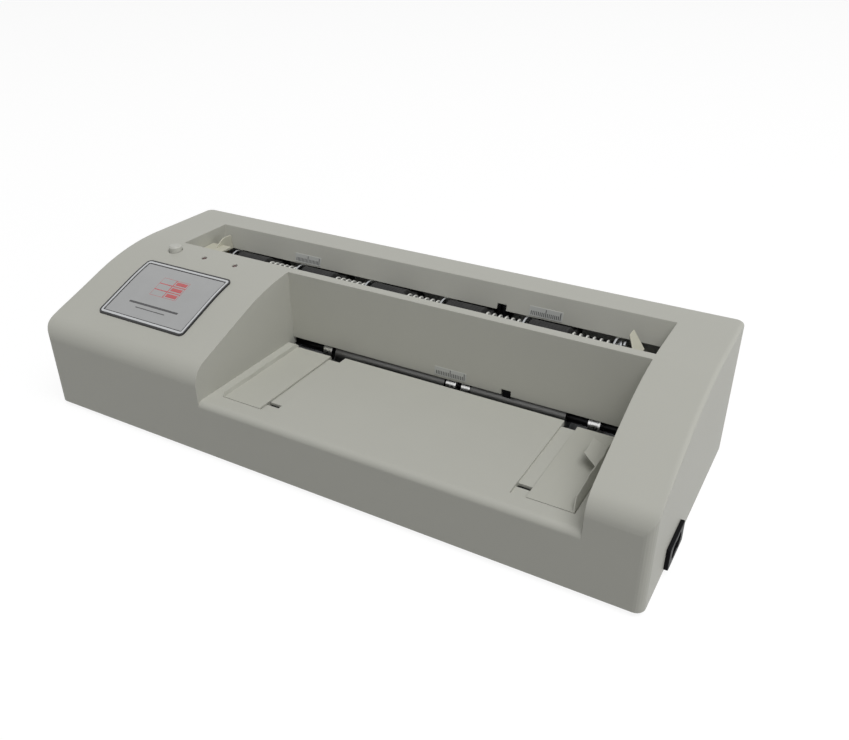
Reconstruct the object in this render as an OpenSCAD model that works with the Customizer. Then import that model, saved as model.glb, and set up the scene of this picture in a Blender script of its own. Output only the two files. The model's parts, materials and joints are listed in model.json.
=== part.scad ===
// Desk card cutter: a powered machine that slits a paper sheet into strips at the rear hopper
// and the strips into business cards at the front feed bay.
// X runs along the machine, Y from its front to its rear, Z up from the surface it stands on.

/* [Body] */
// Length of the casing
body_l = 388; // [380:1:420]
// Depth of the casing, front to rear
body_d = 158; // [156:1:180]
// Height of the casing above its lower edge
body_h = 83; // [82:0.5:90]
// Height of the rubber feet
foot_h = 3; // [2:0.5:6]
// Radius of the rubber feet
foot_r = 8; // [5:0.5:10]
// Wall thickness of the casing
wall = 2.5; // [2:0.1:3]
// Radius of the casing's upright corners
corner_r = 5; // [3:0.5:8]
// Radius where the front face turns into the slope
nose_r = 14; // [10:0.5:18]
// Slope of the casing's front, in degrees
slope_a = 21.3; // [18:0.1:24]
// Radius between the slope and the flat top
roof_r = 152; // [140:1:165]
// Depth of the flat top, from the rear face
roof_flat = 55.7; // [50:0.1:60]

/* [Feed bay] */
// Left side of the bay, from the casing's left end
bay_left = 124.8; // [115:0.1:135]
// Right side of the bay, from the casing's right end
bay_right = 32.5; // [31:0.1:36]
// Height of the deck above the casing's lower edge
deck_h = 35.4; // [34:0.1:37]
// Thickness of the deck
deck_t = 3.5; // [3.2:0.1:4.5]
// Radius of the deck's front lip
lip_r = 4; // [2:0.5:6]
// Rear edge of the deck
deck_rear = 5.7; // [3:0.1:7]
// Front face of the upright wall behind the deck
ridge_front = 11; // [10:0.1:11.2]
// Thickness of that wall along its top
ridge_t = 5.7; // [5:0.1:6.5]
// Height of the feed slot over the deck
slot_h = 1.6; // [1.2:0.1:2]

/* [Hopper] */
// Left end of the hopper, from the casing's left end
hopper_left = 33.5; // [33:0.1:36]
// Upper rear edge of the hopper
hopper_rear = 57.5; // [57:0.1:59]
// Depth of the hopper's back wall
hopper_deep = 15; // [13:0.5:15.5]
// How far the back wall leans forward on its way down
hopper_lean = 4.2; // [3.5:0.1:4.5]

/* [Cutting units] */
// Width of a strip, as the rear blades cut it
strip_w = 54; // [50:1:55]
// Number of strips across a sheet
strips = 5; // [3:1:5]
// Length of a card, as the front blades cut it
card_l = 90; // [85:1:91]
// Radius of the four shafts
shaft_r = 3; // [2.5:0.1:3.4]
// Thickness of a round blade
blade_t = 1.2; // [0.8:0.1:1.4]
// Side play between a blade and its partner
blade_play = 0.3; // [0.2:0.05:0.4]
// How far paired blades overlap
blade_lap = 1.2; // [0.6:0.1:1.6]
// Gap at the nip between paired rollers
nip = 0.3; // [0.3:0.05:0.6]
// Length of a rubber drive roller
roller_l = 24; // [18:0.5:24.5]
// Curls of a blade spring
curls = 6; // [4:1:7]
// Thickness of the spring wire
wire_d = 1.3; // [1:0.1:1.5]
// Mean radius of a spring's curls
curl_r = 6.3; // [6:0.1:7]

/* [Gears] */
// Module of the gear teeth
gear_m = 1; // [1:1]
// Width of a gear
gear_w = 6; // [4:0.5:7]
// Play between meshing teeth
tooth_play = 0.12; // [0.1:0.01:0.2]
// Radius of the idlers' studs
stud_r = 2.5; // [2:0.1:3]
// Radial clearance of a running fit
run_fit = 0.05; // [0.03:0.01:0.09]
// Gap between pieces that pass each other
gap = 0.3; // [0.25:0.05:0.5]

/* [Guides] */
// Width of the left front guide's plate
guide_w = 26.5; // [22:0.5:27]
// Deck left free in front of the front guides
guide_front = 12.3; // [11:0.1:20]
// Thickness of the guides' plates
guide_t = 1.2; // [1:0.1:1.4]
// Free travel of the left front guide
guide_run = 9; // [5:0.5:10]
// Height of the left front guide's raised edge
guide_lip = 2.5; // [1.5:0.25:4]
// Height of the right front guide's fin
guide_fin = 6.2; // [4:0.2:7]
// Height of the rear guides' fences
fence_h = 10; // [6:0.5:11]

/* [Controls] */
// Radius of the start button
button_r = 4.3; // [3.5:0.1:5]
// How far the start button stands proud
button_proud = 3.5; // [2.5:0.1:4.5]
// Travel of the start button
button_run = 1.2; // [0.8:0.1:1.5]
// Radius of the two lamps
lamp_r = 1.5; // [1.2:0.1:2]
// Length of the badge
badge_l = 70; // [60:1:74]
// Depth of the badge, seen from above
badge_d = 48; // [40:1:50]
// Width of the badge's frame
badge_rim = 3.2; // [2:0.1:4]
// Height of the badge's frame
badge_t = 1.1; // [0.8:0.1:1.5]
// Length of a printed scale plate
scale_l = 21; // [18:0.5:24]
// Height of a printed scale plate
scale_h = 5.6; // [4:0.1:6]

/* [Power inlet] */
// Length of the inlet's flange
inlet_l = 26.8; // [26:0.1:30]
// Height of the inlet's flange
inlet_h = 13.3; // [12.5:0.1:15]
// Thickness of the inlet's flange
inlet_t = 2.2; // [1.5:0.1:3]
// Depth of the inlet behind the flange
inlet_deep = 16; // [12:0.5:19]

/* [Hidden] */
$fn = 48;
skin = 0.01;             // overlap that makes cuts run clean through

// ---- casing ----
half_l = body_l / 2;
half_d = body_d / 2;
works_back = 79;                                 // from the works' datum to the rear face
works_y = half_d - works_back;                   // the datum, from the middle of the casing
front_face = works_back - body_d;                // the front face, from the datum
roof_y = works_back - roof_flat;                     // where the flat top begins
slope_y = roof_y - roof_r * sin(slope_a);        // where the slope meets the curve
slope_z = body_h - roof_r * (1 - cos(slope_a));
nose_y = front_face + nose_r;                       // middle of the nose's curve
nose_top = nose_y - nose_r * sin(slope_a);
nose_z = slope_z + (nose_top - slope_y) * tan(slope_a) - nose_r * cos(slope_a);
ridge_back = ridge_front + ridge_t;
slot_top = deck_h + slot_h;
hopper_foot = hopper_rear - hopper_lean;         // lower edge of the hopper's back wall
hopper_low = body_h - hopper_deep;
bay_x0 = -half_l + bay_left;
bay_x1 = half_l - bay_right;
hopper_x0 = -half_l + hopper_left;
exit_half = -hopper_x0 - 4.5;
exit_low = 6;
exit_high = 30;
base_t = 2;
base_gap = 0.3;

// ---- side frames, measured from the middle of the casing ----
plate_t = 2;
plate_room = 5.5;                                // from the hopper's end to a plate's inner face
left_plate = hopper_x0 - plate_room;
right_plate = bay_x1 + plate_room;
plate_top = body_h - 5;
plate_rear = works_back - 7;
plate_front = -46;
flange_w = 10;
bush_r = 5;
bush_rim = 6.5;
bush_end = 1.5;
screw_r = 1.5;
head_r = 2.8;
head_t = 2;
tie_r = 3;

// ---- gear train and shafts: Y and Z ----
lower_t = 16;                                    // teeth of the front units' gears
pair_t = 18;                                     // teeth of the rear units' gears
big_t = 40;
small_t = 12;
mid_t = 22;
front_y = 22.5;
front_gap = gear_m * lower_t;
rear_gap = gear_m * pair_t;
rear_lean = 23;
front_lower = [front_y, deck_h - front_gap / 2];
front_upper = [front_y, deck_h + front_gap / 2];
rear_upper = [39.5, 64.5];
rear_lower = rear_upper + rear_gap * [cos(rear_lean), -sin(rear_lean)];
idler_a = 184.7;                                 // direction from the front shaft to the idler
pinion_a = 190.2;
drive_idler_at = front_lower + gear_m * (lower_t + big_t) / 2 * [cos(idler_a), sin(idler_a)];
motor_at = drive_idler_at + gear_m * (big_t + small_t) / 2 * [cos(pinion_a), sin(pinion_a)];
reach_c = gear_m * (lower_t + mid_t) / 2;
reach_b = gear_m * (pair_t + mid_t) / 2;
transfer_at = apex(front_upper, rear_lower, reach_c, reach_b);
gear_x = left_plate - plate_t - 4 - gear_w;      // the left gears' outer face
pair_x = right_plate + plate_t + 3;
stub = 3;                                        // shaft beyond a gear

roller_r = (rear_gap - nip) / 2;
blade_r = (rear_gap + blade_lap) / 2;
feed_r = (front_gap - nip) / 2;
card_blade_r = (front_gap + blade_lap) / 2;
spacer_r = 5;
hub_l = 8;
cuts = [for (i = [0:strips]) (i - strips / 2) * strip_w];
bay_mid = (bay_x0 + bay_x1) / 2;
bay_half = (bay_x1 - bay_x0) / 2;
cut_half = strips * strip_w / 2;
card_cuts = [for (i = [-1:1]) bay_mid + i * card_l];
side = blade_play / 2;                           // a blade's face from its cut line
roller_in = blade_t + side + 0.5;                // a roller's start from its cut line
end_l = 0.113 * (bay_x1 - cut_half);             // the end spacer of the rear upper unit

// ---- guides ----
pocket = guide_t + gap;
guide_edge = bay_half - 34.65;                   // the left guide's inner edge, from the bay's middle
guide_far = guide_edge + guide_w;                // both guides' outer edges
guide_step = 1.75;                               // the right guide's edge stands out by this
guide_tail = 3.3;
tongue_y = front_face + guide_front + 8.7;
tongue_l = 7;
tongue_t = 2.4;
hook_y = 3;
rail_y = 20.3;
rail_t = 2;
rail_top = 68.3;
rail_h = 6.3;
left_room = -hopper_x0 - cut_half;               // from the last cut to the hopper's ends
right_room = bay_x1 - cut_half;
fence_x = cut_half + 0.627 * left_room;
fin_foot = cut_half + 0.49 * right_room;
fin_tip = cut_half + 0.19 * right_room;

// ---- controls ----
button_at = [-half_l + 36, 5.2];
lamps_at = [[-half_l + 61.8, 4.4], [-half_l + 87.7, 4]];
badge_at = [-half_l + 64, front_face + 43.4];
screw_posts = [-half_l + 46, -half_l + 76];
badge_r = 3.2;
board_z = 62;
board_t = 1.6;
switch_h = 4;
plunger_h = 1.5;
flag_x = bay_mid + 35.85;
flag_w = 5;
flag_pin = [17.5, 52];
rear_flag_x = cuts[strips - 2] + 31;
rear_flag_pin = [61, 64];
pin_r = 1;
ear_t = 1.4;
inlet_at = [-33, 8.2];
boss_r = 4.5;

shell_colour = [0.80, 0.80, 0.77];
steel = [0.72, 0.73, 0.75];
black = [0.09, 0.09, 0.10];

// Third corner of a triangle on the base a-b, to the right of the way from a to b.
function apex(a, b, from_a, from_b) =
    let (
        d = norm(b - a),
        u = (b - a) / d,
        along = (pow(from_a, 2) - pow(from_b, 2) + d * d) / (2 * d),
        off = sqrt(pow(from_a, 2) - along * along)
    ) a + along * u + off * [u[1], -u[0]];

function arc(c, r, a0, a1, n) = [for (i = [0:n]) let (a = a0 + (a1 - a0) * i / n) c + r * [cos(a), sin(a)]];

// Side outline of the casing, as Y and Z, drawn in from its outer face.
function casing_outline(inset, low = 0) = concat(
    [[front_face + inset, low]],
    arc([nose_y, nose_z], nose_r - inset, 180, 90 + slope_a, 8),
    arc([roof_y, body_h - roof_r], roof_r - inset, 90 + slope_a, 90, 12),
    [[works_back - inset, body_h - inset], [works_back - inset, low]]
);

// Height of the casing's top at y.
function roof_at(y) =
    y > roof_y ? body_h
    : y > slope_y ? body_h - roof_r + sqrt(pow(roof_r, 2) - pow(roof_y - y, 2))
    : slope_z + (y - slope_y) * tan(slope_a);

// Rectangle with rounded corners, about the origin.
function rounded(l, d, r, n = 6) = concat(
    arc([l / 2 - r, d / 2 - r], r, 0, 90, n),
    arc([r - l / 2, d / 2 - r], r, 90, 180, n),
    arc([r - l / 2, r - d / 2], r, 180, 270, n),
    arc([l / 2 - r, r - d / 2], r, 270, 360, n)
);

// Front face of the hopper's back wall at height z.
function back_y(z) = hopper_rear - (body_h - z) * hopper_lean / hopper_deep;

// Puts what is drawn from the works' datum in its place over the feet.
module lift() {
    translate([0, works_y, foot_h]) children();
}

// Upright block with a rounded plan, drawn in from the casing's by a margin.
module plan_block(margin, h) {
    translate([0, -works_y, 0]) linear_extrude(h)
        polygon(rounded(body_l - 2 * margin, body_d - 2 * margin, corner_r - min(margin, wall)));
}

// Stretches an outline in Y and Z along X.
module across(x0, x1) {
    translate([x0, 0, 0]) rotate([90, 0, 90]) linear_extrude(x1 - x0) children();
}

// Round bar along X.
module bar(at, r, x0, x1) {
    translate([x0, at[0], at[1]]) rotate([0, 90, 0]) cylinder(r = r, h = x1 - x0);
}

module tube(at, r, bore, x0, x1) {
    difference() {
        bar(at, r, x0, x1);
        bar(at, bore, x0 - skin, x1 + skin);
    }
}

module box(lo, hi) {
    translate(lo) cube(hi - lo);
}

// Thin bent sheet through a row of points, on their rear side.
module sheet(points, t, x0, x1) {
    across(x0, x1) polygon(concat(points, [for (i = [len(points) - 1:-1:0]) points[i] - [0, t]]));
}

// ---- the casing ----
boss_in = wall + boss_r - 0.5;
boss_spots = [
    for (sx = [-1, 1], y = [front_face + boss_in, works_back - boss_in]) [sx * (half_l - boss_in), y],
    for (x = [bay_mid - 45, bay_mid + 45]) [x, front_face + boss_in]
];
boss_top = 24;

module casing_block() {
    intersection() {
        across(-half_l, half_l) polygon(casing_outline(0));
        plan_block(0, body_h + 1);
    }
}

module casing_rooms() {
    inner = casing_outline(wall, -1);
    across(-half_l + wall, bay_x0 - wall) polygon(inner);
    across(bay_x1 + wall, half_l - wall) polygon(inner);
    box([bay_x0 - wall - skin, ridge_front + wall, -1],
        [bay_x1 + wall + skin, works_back - wall, body_h - wall]);
    box([bay_x0 - wall - skin, front_face + wall, -1],
        [bay_x1 + wall + skin, ridge_front + wall + skin, deck_h - deck_t]);
    box([bay_x0, deck_rear, deck_h - deck_t - 1],
        [bay_x1, ridge_front + wall + skin, slot_top]);
}

module bay_cut() {
    across(bay_x0, bay_x1) polygon(concat(
        [[front_face - 1, deck_h - lip_r]],
        arc([front_face + lip_r, deck_h - lip_r], lip_r, 180, 90, 6),
        [[ridge_front, deck_h], [ridge_front, body_h + 1], [front_face - 1, body_h + 1]]
    ));
}

module hopper_walls() {
    across(hopper_x0 - wall, bay_x1 + wall) polygon([
        [hopper_foot, hopper_low],
        [hopper_foot + wall, hopper_low],
        [back_y(body_h - 1) + wall, body_h - 1],
        [back_y(body_h - 1), body_h - 1]
    ]);
    for (x = [hopper_x0 - wall, bay_x1])
        across(x, x + wall) polygon([
            [ridge_back - 2, hopper_low + 1],
            [back_y(hopper_low + 1) + 1, hopper_low + 1],
            [back_y(body_h - 1) + 1, body_h - 1],
            [ridge_back - 2, body_h - 1]
        ]);
    box([hopper_x0, ridge_back - 2, body_h - 7], [bay_x1, ridge_back, body_h - 1]);
}

module hopper_mouth() {
    across(hopper_x0, bay_x1) polygon([
        [ridge_back, body_h - wall - 1],
        [back_y(body_h - wall - 1), body_h - wall - 1],
        [back_y(body_h + 1), body_h + 1],
        [ridge_back, body_h + 1]
    ]);
}

// Pocket, travel slot and rear notch of a front guide, drawn for the right one.
module guide_cuts(edge, run) {
    low = edge - run - gap;
    box([low, front_face + guide_front - gap, deck_h - pocket], [guide_far + gap, deck_rear + 1, deck_h + 1]);
    box([low, tongue_y - tongue_t / 2 - gap, deck_h - deck_t - 1],
        [edge + tongue_l + gap, tongue_y + tongue_t / 2 + gap, deck_h]);
    box([low, hook_y - tongue_t / 2 - gap, deck_h - deck_t - 1],
        [edge + tongue_l + gap, deck_rear + 1, deck_h]);
}

module top_cover() {
    color(shell_colour) lift() difference() {
        union() {
            difference() {
                casing_block();
                casing_rooms();
                bay_cut();
            }
            hopper_walls();
            for (p = boss_spots)
                translate([p[0], p[1], base_t]) cylinder(r = boss_r, h = boss_top - base_t);
            for (x = screw_posts) translate([x, 9, board_z + board_t])
                cylinder(r = 3, h = roof_at(9) - wall / 2 - board_z - board_t);
        }
        hopper_mouth();
        for (p = boss_spots) translate([p[0], p[1], base_t - 1]) cylinder(r = screw_r, h = 11);
        translate([button_at[0], button_at[1], body_h - 10]) cylinder(r = button_r + gap, h = 20);
        for (p = lamps_at) translate([p[0], p[1], body_h - 10]) cylinder(r = lamp_r + gap, h = 20);
        translate([bay_mid, 0, 0]) {
            guide_cuts(guide_edge + guide_step, guide_run - 1);
            mirror([1, 0, 0]) guide_cuts(guide_edge, guide_run);
        }
        box([flag_x - 3, ridge_front - 1, slot_top - 1], [flag_x + 3, ridge_front + wall + 1, slot_top + 3.5]);
        box([rear_flag_x - 3, hopper_foot - 1, hopper_low - 1],
            [rear_flag_x + 3, hopper_foot + wall + 2, hopper_low + 3.5]);
        box([-exit_half, works_back - wall - 1, exit_low], [exit_half, works_back + 1, exit_high]);
        box([half_l - wall - 1, inlet_at[0] - inlet_l / 2 + 2, inlet_at[1] - inlet_h / 2 + 1.6],
            [half_l + 1, inlet_at[0] + inlet_l / 2 - 2, inlet_at[1] + inlet_h / 2 - 1.6]);
    }
}

frame_screw_spots = [
    for (y = [2, 50]) [left_plate + flange_w / 2, y],
    for (y = [2, 50]) [right_plate - flange_w / 2, y]
];
board_x = [-52, 62];
board_y = [front_face + 12, front_face + 74];
standoff_spots = [for (x = board_x + [7, -7], y = board_y + [7, -7]) [x, y]];

module base_plate() {
    color([0.62, 0.63, 0.62]) lift() difference() {
        plan_block(wall + base_gap, base_t);
        for (p = boss_spots) translate([p[0], p[1], -1]) cylinder(r = screw_r + 0.2, h = base_t + 2);
        for (p = frame_screw_spots) translate([p[0], p[1], -1]) cylinder(r = screw_r, h = base_t + 2);
        for (i = [0:4]) translate([-half_l + 54 + 12 * i, -30, -1]) cube([4, 40, base_t + 2]);
    }
}

module rubber_feet() {
    color(black) for (sx = [-1, 1], sy = [-1, 1])
        translate([sx * (half_l - 22), sy * (half_d - 24), 0]) {
            cylinder(r = foot_r - 0.6, h = foot_h);
            translate([0, 0, foot_h - 1]) cylinder(r = foot_r, h = 1);
        }
}

// Pan-head screw that points up, with its head's seat at the origin.
module screw(l) {
    cylinder(r = screw_r, h = l);
    translate([0, 0, -head_t]) difference() {
        cylinder(r = head_r, h = head_t);
        for (a = [0, 90]) rotate([0, 0, a]) translate([-1.6, -0.3, -skin]) cube([3.2, 0.6, 0.8]);
    }
}

module cover_screws() {
    color(steel) lift() for (p = boss_spots) translate([p[0], p[1], 0]) screw(10);
}

module frame_screws() {
    color(steel) lift() for (p = frame_screw_spots)
        translate([p[0], p[1], base_t + plate_t]) rotate([180, 0, 0]) screw(base_t + plate_t);
}

// ---- frame ----
tie_spots = [[68.5, 74], [70, 42], [8, 14], [25.5, 60]];
shaft_spots = [rear_upper, rear_lower, front_upper, front_lower];

module side_plate(x, inward) {
    x1 = x - inward * plate_t;
    difference() {
        union() {
            across(min(x, x1), max(x, x1)) polygon([
                [plate_front, base_t], [plate_rear, base_t], [plate_rear, plate_top],
                [12, plate_top], [-10, 60], [plate_front, 46]
            ]);
            box([min(x1, x + inward * flange_w), plate_front, base_t],
                [max(x1, x + inward * flange_w), plate_rear, base_t + plate_t]);
        }
        for (p = shaft_spots) bar(p, bush_r, x - 5, x + 5);
        for (p = frame_screw_spots) translate([p[0], p[1], 0]) cylinder(r = screw_r, h = 10);
        if (inward > 0) {
            bar(motor_at, 7, x - 5, x + 5);
            for (s = [-1, 1]) bar(motor_at + [s * 11, 0], screw_r, x - 5, x + 5);
            for (p = [drive_idler_at, transfer_at]) bar(p, stud_r, x - 5, x + 5);
        }
    }
}

module left_side_plate() {
    color([0.66, 0.67, 0.68]) lift() side_plate(left_plate, 1);
}

module right_side_plate() {
    color([0.66, 0.67, 0.68]) lift() side_plate(right_plate, -1);
}

module tie_bars() {
    color(steel) lift() for (p = tie_spots) bar(p, tie_r, left_plate, right_plate);
}

module shaft_bushes() {
    color([0.72, 0.55, 0.30]) lift() for (p = shaft_spots) {
        difference() {
            union() {
                bar(p, bush_r, left_plate - plate_t - 1, left_plate + bush_end);
                bar(p, bush_rim, left_plate, left_plate + bush_end);
            }
            bar(p, shaft_r + run_fit, left_plate - 10, left_plate + 10);
        }
        difference() {
            union() {
                bar(p, bush_r, right_plate - bush_end, right_plate + plate_t + 1);
                bar(p, bush_rim, right_plate - bush_end, right_plate);
            }
            bar(p, shaft_r + run_fit, right_plate - 10, right_plate + 10);
        }
    }
}

// Sheets that lead the strips and the cards, as Y and Z along their upper or front face.
ramp_path = [[32, 33.5], [44, 31.5], [60, 20.5], [75.5, 10]];
ramp_t = 1;
deflector_path = [[36.2, 53.2], [36.2, 42.6], [40.2, 38.6]];
deflector_back = [[40.8, 39.2], [37, 43], [37, 53.2]];

module exit_ramp() {
    color([0.70, 0.71, 0.71]) lift() sheet(ramp_path, ramp_t, left_plate, right_plate);
}

module strip_deflector() {
    color([0.70, 0.71, 0.71]) lift()
        across(left_plate, right_plate) polygon(concat(deflector_path, deflector_back));
}

module rear_guide_rail() {
    color(steel) lift()
        box([left_plate, rail_y - rail_t / 2, rail_top - rail_h], [right_plate, rail_y + rail_t / 2, rail_top]);
}

// ---- motor ----
motor_r = 16;
gearbox_l = 20;
motor_l = 40;

module motor() {
    color([0.55, 0.56, 0.58]) lift() difference() {
        union() {
            bar(motor_at, motor_r, left_plate, left_plate + gearbox_l);
            bar(motor_at, motor_r - 2, left_plate + gearbox_l, left_plate + gearbox_l + motor_l);
            bar(motor_at, 5, left_plate + gearbox_l + motor_l, left_plate + gearbox_l + motor_l + 3);
        }
        bar(motor_at, shaft_r + run_fit, left_plate - 1, left_plate + 9);
        for (s = [-1, 1]) bar(motor_at + [s * 11, 0], screw_r, left_plate - 1, left_plate + 5);
    }
}

module motor_screws() {
    color(steel) lift() for (s = [-1, 1])
        translate([left_plate - plate_t, motor_at[0] + s * 11, motor_at[1]])
            rotate([0, 90, 0]) screw(plate_t + 4);
}

module motor_shaft() {
    color(steel) lift() bar(motor_at, shaft_r, gear_x - stub, left_plate + 8.7);
}

// ---- gears ----
press_a = 20;
function involute(a) = tan(a) * 180 / PI - a;
// Half the angle that a tooth takes at radius r.
function tooth_half(t, r) =
    let (pitch = gear_m * t / 2, base = pitch * cos(press_a))
    90 / t - tooth_play / pitch * 90 / PI + involute(press_a) - involute(acos(min(1, base / max(r, base))));
function gear_outline(t) =
    let (
        pitch = gear_m * t / 2,
        root = pitch - 1.25 * gear_m,
        tip = pitch + gear_m,
        base = max(root, pitch * cos(press_a)),
        steps = [for (i = [0:4]) base + (tip - base) * i / 4],
        radii = root < base - 0.05 ? concat([root], steps) : steps
    )
    [for (k = [0:t - 1], s = [-1, 1], i = [0:len(radii) - 1])
        let (
            r = s < 0 ? radii[i] : radii[len(radii) - 1 - i],
            a = 360 * k / t + s * tooth_half(t, r)
        ) r * [cos(a), sin(a)]];
// Turn of a gear so that it meshes with one that is turned by phase.
function meshed(phase, t, next_t, from, to) =
    let (way = atan2(to[1] - from[1], to[0] - from[0]))
    way + 180 - 180 / next_t + (way - phase) * t / next_t;

front_lower_turn = 0;
front_upper_turn = meshed(front_lower_turn, lower_t, lower_t, front_lower, front_upper);
drive_idler_turn = meshed(front_lower_turn, lower_t, big_t, front_lower, drive_idler_at);
pinion_turn = meshed(drive_idler_turn, big_t, small_t, drive_idler_at, motor_at);
transfer_turn = meshed(front_upper_turn, lower_t, mid_t, front_upper, transfer_at);
rear_drive_turn = meshed(transfer_turn, mid_t, pair_t, transfer_at, rear_lower);
rear_pair_turn = meshed(0, pair_t, pair_t, rear_lower, rear_upper);

module gear(at, t, turn, bore, x) {
    pitch = gear_m * t / 2;
    difference() {
        translate([x, at[0], at[1]]) rotate([90, 0, 90]) linear_extrude(gear_w)
            rotate([0, 0, turn]) polygon(gear_outline(t));
        bar(at, bore, x - 1, x + gear_w + 1);
        if (pitch > 15) for (a = [0:60:300])
            bar(at + (pitch + 5) / 2 * [cos(a), sin(a)], 3.6, x - 1, x + gear_w + 1);
    }
}

module motor_pinion() {
    color([0.75, 0.62, 0.34]) lift() gear(motor_at, small_t, pinion_turn, shaft_r, gear_x);
}

module drive_idler() {
    color([0.92, 0.91, 0.86]) lift() gear(drive_idler_at, big_t, drive_idler_turn, stud_r + run_fit, gear_x);
}

module transfer_idler() {
    color([0.92, 0.91, 0.86]) lift() gear(transfer_at, mid_t, transfer_turn, stud_r + run_fit, gear_x);
}

module front_lower_gear() {
    color([0.92, 0.91, 0.86]) lift() gear(front_lower, lower_t, front_lower_turn, shaft_r, gear_x);
}

module front_upper_gear() {
    color([0.92, 0.91, 0.86]) lift() gear(front_upper, lower_t, front_upper_turn, shaft_r, gear_x);
}

module rear_drive_gear() {
    color([0.92, 0.91, 0.86]) lift() gear(rear_lower, pair_t, rear_drive_turn, shaft_r, gear_x);
}

module rear_lower_pair_gear() {
    color([0.92, 0.91, 0.86]) lift() gear(rear_lower, pair_t, 0, shaft_r, pair_x);
}

module rear_upper_pair_gear() {
    color([0.92, 0.91, 0.86]) lift() gear(rear_upper, pair_t, rear_pair_turn, shaft_r, pair_x);
}

module idler_studs() {
    color(steel) lift() for (p = [drive_idler_at, transfer_at]) {
        bar(p, stud_r, gear_x - gap - 1.5, left_plate);
        bar(p, stud_r + 1.5, gear_x + gear_w + gap, left_plate - plate_t);
        bar(p, stud_r + 1.2, gear_x - gap - 1.5, gear_x - gap);
    }
}

// ---- shafts, rollers and blades ----
module shaft(at, x0, x1) {
    color(steel) lift() bar(at, shaft_r, x0, x1);
}

module rear_upper_shaft() {
    shaft(rear_upper, left_plate - plate_t - stub, pair_x + gear_w + stub);
}

module rear_lower_shaft() {
    shaft(rear_lower, gear_x - stub, pair_x + gear_w + stub);
}

module front_upper_shaft() {
    shaft(front_upper, gear_x - stub, right_plate + plate_t + stub);
}

module front_lower_shaft() {
    shaft(front_lower, gear_x - stub, right_plate + plate_t + stub);
}

// Where a spring or a spacer ends, at the left of the cut line that follows c.
function next_gap(c) = c + strip_w - side - blade_t;

module rear_upper_rollers() {
    color(black) lift() {
        for (i = [0:strips - 1])
            tube(rear_upper, roller_r, shaft_r, cuts[i] + roller_in, cuts[i] + roller_in + roller_l);
        tube(rear_upper, spacer_r + 1, shaft_r, cuts[strips] + roller_in, cuts[strips] + roller_in + end_l);
    }
}

module rear_upper_blades() {
    color([0.85, 0.86, 0.88]) lift() for (c = cuts) difference() {
        union() {
            bar(rear_upper, blade_r, c - side - blade_t, c - side);
            if (c > cuts[0]) bar(rear_upper, spacer_r, c - side - blade_t - hub_l, c - side - skin);
            else bar(rear_upper, shaft_r + 0.6, c - side - blade_t - 2, c - side - skin);
        }
        bar(rear_upper, shaft_r, c - hub_l - 5, c + 1);
    }
}

module rear_lower_rollers() {
    color(black) lift() for (i = [0:strips - 1]) {
        tube(rear_lower, roller_r, shaft_r, cuts[i] + roller_in, cuts[i] + roller_in + roller_l);
        tube(rear_lower, spacer_r, shaft_r, cuts[i] + roller_in + roller_l + gap, cuts[i + 1] + side);
    }
}

module rear_lower_blades() {
    color([0.85, 0.86, 0.88]) lift() for (c = cuts)
        tube(rear_lower, blade_r, shaft_r, c + side, c + side + blade_t);
}

module front_upper_rollers() {
    color(black) lift() for (c = [card_cuts[0], card_cuts[1]]) {
        tube(front_upper, feed_r, shaft_r, c + 2.2, c + 28);
        tube(front_upper, feed_r, shaft_r, c + card_l - 28, c + card_l - 2.5);
    }
}

module front_upper_blades() {
    color([0.85, 0.86, 0.88]) lift() for (c = card_cuts)
        tube(front_upper, card_blade_r, shaft_r, c - side - blade_t, c - side);
}

hub_r = feed_r - 0.9;
feed_spans = [[card_cuts[0] + 3.8, card_cuts[1] - 6.7], [card_cuts[1] + 10.8, card_cuts[2] - 19]];

module front_feed_sleeves() {
    color([0.60, 0.61, 0.62]) lift() for (s = feed_spans) tube(front_lower, feed_r, shaft_r, s[0], s[1]);
}

module front_lower_blades() {
    color([0.85, 0.86, 0.88]) lift() {
        for (c = card_cuts) difference() {
            union() {
                bar(front_lower, card_blade_r, c + side, c + side + blade_t);
                bar(front_lower, hub_r, c - 6, c + side + skin);
            }
            bar(front_lower, shaft_r, c - 10, c + 10);
        }
        tube(front_lower, hub_r, shaft_r, card_cuts[1] + 4.3, card_cuts[1] + 10.2);
    }
}

// ---- blade springs: one wire each, wound about the rear upper shaft ----
ring_n = 8;                                      // rings to a curl
wire_n = 6;                                      // sides of the wire
spring_l = strip_w - side - blade_t - roller_in - roller_l;
lead = wire_d;                                   // straight run at each end
wind_l = spring_l - 2 * lead;
wind_n = curls * ring_n;

// One ring of the wire: where it is, and its sideways direction.
function coil_x(i) = lead + wind_l * i / wind_n;
function coil_angle(i) = 360 * i / ring_n;
function out_dir(a) = [0, cos(a), sin(a)];
function round_dir(a) = [0, -sin(a), cos(a)];
function wire_ring(x, a, flat) = [for (k = [0:wire_n - 1])
    let (f = 360 * k / wire_n)
    [x, 0, 0] + curl_r * out_dir(a) + wire_d / 2 * (cos(f) * out_dir(a) + sin(f) * flat)];
coil_points = [for (i = [0:wind_n]) [coil_x(i), 0, 0] + curl_r * out_dir(coil_angle(i))];
coil_end = coil_angle(wind_n);
wire_rings = concat(
    [wire_ring(0, 0, -round_dir(0)), wire_ring(coil_x(0), 0, [1, 0, 0] - round_dir(0))],
    [for (i = [1:wind_n - 1]) wire_ring(coil_x(i), coil_angle(i), [1, 0, 0])],
    [wire_ring(coil_x(wind_n), coil_end, [1, 0, 0] - round_dir(coil_end)),
     wire_ring(spring_l, coil_end, -round_dir(coil_end))]
);
last_ring = len(wire_rings) - 1;
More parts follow.
